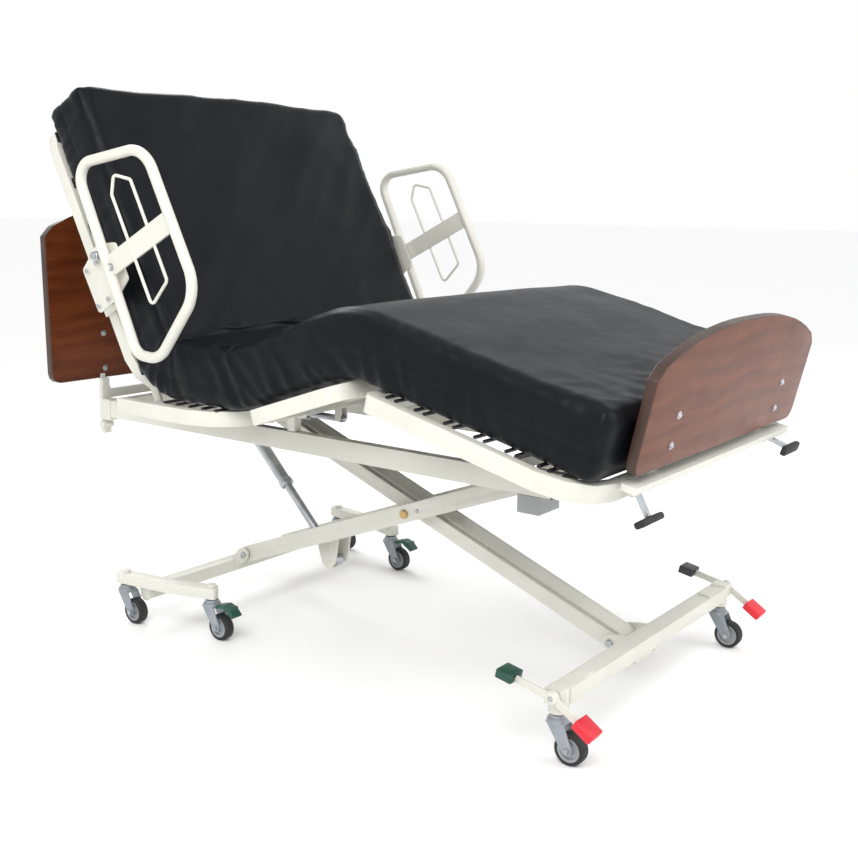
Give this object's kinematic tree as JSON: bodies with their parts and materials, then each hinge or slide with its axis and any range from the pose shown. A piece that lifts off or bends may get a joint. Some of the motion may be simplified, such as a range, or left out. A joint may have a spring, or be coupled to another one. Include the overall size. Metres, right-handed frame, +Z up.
{
  "type": "adjustable hospital bed",
  "caption": "Electric hospital bed on a castered scissor lift, with a folding retracting deck, panel ends, pivoting assist rails and a divided mattress.",
  "frame": {"origin": "middle of the bounding box on the floor", "axes": "+X towards the foot end, +Y towards the patient's left, +Z up"},
  "size_m": [2.0534, 1.284, 1.5383],
  "materials": {
    "cream_powder_coat": "satin",
    "zinc_steel": "satin",
    "black_rubber": "matte",
    "green_plastic": "satin",
    "red_plastic": "satin",
    "brass": "satin",
    "black_steel": "satin",
    "cherry_wood": "satin",
    "grey_plastic": "satin",
    "black_fabric": "satin"
  },
  "bodies": {
    "base": {"foot_crossbar": "cream_powder_coat"},
    "brake": {"brake_shaft": "zinc_steel", "right_brake_lever": "cream_powder_coat", "right_unlock_pad": "green_plastic", "right_lock_pad": "red_plastic", "left_brake_lever": "cream_powder_coat", "left_unlock_pad": "green_plastic", "left_lock_pad": "red_plastic"},
    "head_end_base": {"head_base": "cream_powder_coat"},
    "inner_arm": {"inner_lift_arm": "cream_powder_coat", "scissor_pivot_pin": "brass"},
    "outer_arm": {"outer_lift_arm": "cream_powder_coat"},
    "rollers": {"track_rollers": "zinc_steel"},
    "lift_rod": {"lift_actuator_rod": "zinc_steel"},
    "lift_tube": {"lift_actuator_tube": "zinc_steel"},
    "deck_frame": {"main_frame": "cream_powder_coat", "headboard": "cherry_wood", "headboard_posts": "cream_powder_coat", "control_box": "grey_plastic"},
    "carriage": {"seat_frame": "cream_powder_coat", "seat_slats": "black_steel", "seat_cushion": "black_fabric", "back_actuator_tube": "grey_plastic", "knee_actuator_tube": "grey_plastic"},
    "back_rod": {"back_actuator_rod": "zinc_steel"},
    "knee_rod": {"knee_actuator_rod": "zinc_steel"},
    "backrest": {"backrest_frame": "cream_powder_coat", "back_slats": "black_steel", "back_cushion": "black_fabric", "right_assist_bracket": "cream_powder_coat", "left_assist_bracket": "cream_powder_coat"},
    "thigh": {"thigh_frame": "cream_powder_coat", "thigh_cushion": "black_fabric"},
    "foot": {"foot_frame": "cream_powder_coat", "foot_slats": "black_steel", "foot_cushion": "black_fabric", "footboard": "cherry_wood", "footboard_bracket": "cream_powder_coat"},
    "right_foot_swivel": {"right_foot_caster_fork": "zinc_steel"},
    "right_foot_wheel": {"right_foot_caster_wheel": "black_rubber"},
    "right_mid_swivel": {"right_mid_caster_fork": "zinc_steel"},
    "right_mid_wheel": {"right_mid_caster_wheel": "black_rubber"},
    "right_head_swivel": {"right_head_caster_fork": "zinc_steel"},
    "right_head_wheel": {"right_head_caster_wheel": "black_rubber"},
    "right_pedal": {"right_caster_lock_pedal": "green_plastic"},
    "right_rail": {"right_assist_rail": "cream_powder_coat"},
    "right_knob": {"right_latch_knob": "zinc_steel"},
    "right_foot_release": {"right_foot_lever": "zinc_steel", "right_foot_lever_pad": "black_rubber"},
    "left_foot_swivel": {"left_foot_caster_fork": "zinc_steel"},
    "left_foot_wheel": {"left_foot_caster_wheel": "black_rubber"},
    "left_mid_swivel": {"left_mid_caster_fork": "zinc_steel"},
    "left_mid_wheel": {"left_mid_caster_wheel": "black_rubber"},
    "left_head_swivel": {"left_head_caster_fork": "zinc_steel"},
    "left_head_wheel": {"left_head_caster_wheel": "black_rubber"},
    "left_pedal": {"left_caster_lock_pedal": "green_plastic"},
    "left_rail": {"left_assist_rail": "cream_powder_coat"},
    "left_knob": {"left_latch_knob": "zinc_steel"},
    "left_foot_release": {"left_foot_lever": "zinc_steel", "left_foot_lever_pad": "black_rubber"}
  },
  "joints": [
    {"name": "lift", "type": "hinge", "parent": "base", "child": "inner_arm", "pos_m": [0.71926, 0, 0.138], "axis": [0, 1, 0], "range_deg": [-17.2, 4.6]},
    {"name": "arm_crossing", "type": "hinge", "parent": "inner_arm", "child": "outer_arm", "pos_m": [0.08627, 0, 0.37896], "axis": [0, 1, 0], "range_deg": [-9.3, 34.5]},
    {"name": "head_base_pivot", "type": "hinge", "parent": "outer_arm", "child": "head_end_base", "pos_m": [-0.54672, 0, 0.138], "axis": [0, 1, 0], "range_deg": [-17.3, 4.7]},
    {"name": "deck_level", "type": "hinge", "parent": "inner_arm", "child": "deck_frame", "pos_m": [-0.46279, 0, 0.58796], "axis": [0, 1, 0], "range_deg": [-4.7, 17.3]},
    {"name": "roller_spin", "type": "hinge", "parent": "outer_arm", "child": "rollers", "pos_m": [0.63533, 0, 0.58796], "axis": [0, 1, 0], "continuous": true},
    {"name": "lift_rod_pivot", "type": "hinge", "parent": "outer_arm", "child": "lift_rod", "pos_m": [-0.25874, 0, 0.15], "axis": [0, 1, 0], "range_deg": [-41.4, 11.2]},
    {"name": "lift_stroke", "type": "slide", "parent": "lift_rod", "child": "lift_tube", "axis": [-0.6973, 0, 0.7168], "range_m": [-0.183, 0.049]},
    {"name": "carriage_slide", "type": "slide", "parent": "deck_frame", "child": "carriage", "axis": [1, 0, 0], "range_m": [-0.037, 0.457]},
    {"name": "backrest_tilt", "type": "hinge", "parent": "carriage", "child": "backrest", "pos_m": [-0.47274, 0, 0.676], "axis": [0, 1, 0], "range_deg": [-63, 5]},
    {"name": "back_stroke", "type": "slide", "parent": "carriage", "child": "back_rod", "axis": [1, 0, 0], "range_m": [-0.004, 0.043]},
    {"name": "thigh_tilt", "type": "hinge", "parent": "carriage", "child": "thigh", "pos_m": [-0.11274, 0, 0.676], "axis": [0, -1, 0], "range_deg": [-18.5, 11]},
    {"name": "foot_fold", "type": "hinge", "parent": "thigh", "child": "foot", "pos_m": [0.26337, 0, 0.80184], "axis": [0, -1, 0], "range_deg": [-19.4, 32.5]},
    {"name": "knee_stroke", "type": "slide", "parent": "carriage", "child": "knee_rod", "axis": [1, 0, 0], "range_m": [-0.015, 0.009]},
    {"name": "brake_turn", "type": "hinge", "parent": "base", "child": "brake", "pos_m": [0.80526, 0, 0.165], "axis": [0, 1, 0], "range_deg": [-43, 0]},
    {"name": "right_foot_caster_swivel", "type": "hinge", "parent": "base", "child": "right_foot_swivel", "pos_m": [0.80026, -0.447, 0.06], "axis": [0, 0, 1], "continuous": true},
    {"name": "right_foot_wheel_spin", "type": "hinge", "parent": "right_foot_swivel", "child": "right_foot_wheel", "pos_m": [0.83626, -0.447, 0.038], "axis": [0, 1, 0], "continuous": true},
    {"name": "right_mid_caster_swivel", "type": "hinge", "parent": "head_end_base", "child": "right_mid_swivel", "pos_m": [-0.37074, -0.41, 0.06], "axis": [0, 0, 1], "continuous": true},
    {"name": "right_mid_wheel_spin", "type": "hinge", "parent": "right_mid_swivel", "child": "right_mid_wheel", "pos_m": [-0.33474, -0.41, 0.038], "axis": [0, 1, 0], "continuous": true},
    {"name": "right_head_caster_swivel", "type": "hinge", "parent": "head_end_base", "child": "right_head_swivel", "pos_m": [-0.66674, -0.474, 0.06], "axis": [0, 0, 1], "continuous": true},
    {"name": "right_head_wheel_spin", "type": "hinge", "parent": "right_head_swivel", "child": "right_head_wheel", "pos_m": [-0.63074, -0.474, 0.038], "axis": [0, 1, 0], "continuous": true},
    {"name": "right_lock_pedal_press", "type": "hinge", "parent": "right_mid_swivel", "child": "right_pedal", "pos_m": [-0.33874, -0.41, 0.099], "axis": [0, 1, 0], "range_deg": [0, 12]},
    {"name": "right_assist_rail_tilt", "type": "hinge", "parent": "backrest", "child": "right_rail", "pos_m": [-0.47653, -0.628, 1.0579], "axis": [0, 1, 0], "range_deg": [0, 25]},
    {"name": "right_latch_pull", "type": "slide", "parent": "backrest", "child": "right_knob", "axis": [0, -1, 0], "range_m": [0, 0.008], "stiffness_N_per_m": 800},
    {"name": "right_foot_lever_turn", "type": "hinge", "parent": "foot", "child": "right_foot_release", "pos_m": [0.92952, -0.375, 0.6373], "axis": [0, 1, 0], "range_deg": [-10, 15]},
    {"name": "left_foot_caster_swivel", "type": "hinge", "parent": "base", "child": "left_foot_swivel", "pos_m": [0.80026, 0.447, 0.06], "axis": [0, 0, 1], "continuous": true},
    {"name": "left_foot_wheel_spin", "type": "hinge", "parent": "left_foot_swivel", "child": "left_foot_wheel", "pos_m": [0.83626, 0.447, 0.038], "axis": [0, 1, 0], "continuous": true},
    {"name": "left_mid_caster_swivel", "type": "hinge", "parent": "head_end_base", "child": "left_mid_swivel", "pos_m": [-0.37074, 0.41, 0.06], "axis": [0, 0, 1], "continuous": true},
    {"name": "left_mid_wheel_spin", "type": "hinge", "parent": "left_mid_swivel", "child": "left_mid_wheel", "pos_m": [-0.33474, 0.41, 0.038], "axis": [0, 1, 0], "continuous": true},
    {"name": "left_head_caster_swivel", "type": "hinge", "parent": "head_end_base", "child": "left_head_swivel", "pos_m": [-0.66674, 0.474, 0.06], "axis": [0, 0, 1], "continuous": true},
    {"name": "left_head_wheel_spin", "type": "hinge", "parent": "left_head_swivel", "child": "left_head_wheel", "pos_m": [-0.63074, 0.474, 0.038], "axis": [0, 1, 0], "continuous": true},
    {"name": "left_lock_pedal_press", "type": "hinge", "parent": "left_mid_swivel", "child": "left_pedal", "pos_m": [-0.33874, 0.41, 0.099], "axis": [0, 1, 0], "range_deg": [0, 12]},
    {"name": "left_assist_rail_tilt", "type": "hinge", "parent": "backrest", "child": "left_rail", "pos_m": [-0.47653, 0.628, 1.0579], "axis": [0, 1, 0], "range_deg": [0, 25]},
    {"name": "left_latch_pull", "type": "slide", "parent": "backrest", "child": "left_knob", "axis": [0, 1, 0], "range_m": [0, 0.008], "stiffness_N_per_m": 800},
    {"name": "left_foot_lever_turn", "type": "hinge", "parent": "foot", "child": "left_foot_release", "pos_m": [0.92952, 0.375, 0.6373], "axis": [0, 1, 0], "range_deg": [-10, 15]}
  ],
  "couplings": [
    {"joint": "arm_crossing", "follows": "lift", "ratio": -2},
    {"joint": "head_base_pivot", "follows": "lift", "ratio": 1},
    {"joint": "deck_level", "follows": "lift", "ratio": -1},
    {"joint": "lift_rod_pivot", "follows": "lift", "ratio": 2.4},
    {"joint": "lift_stroke", "follows": "lift", "m_per_rad": 0.607},
    {"joint": "carriage_slide", "follows": "backrest_tilt", "m_per_rad": -0.414},
    {"joint": "back_stroke", "follows": "backrest_tilt", "m_per_rad": -0.0385},
    {"joint": "foot_fold", "follows": "thigh_tilt", "ratio": -1.751},
    {"joint": "knee_stroke", "follows": "thigh_tilt", "m_per_rad": 0.0455}
  ]
}
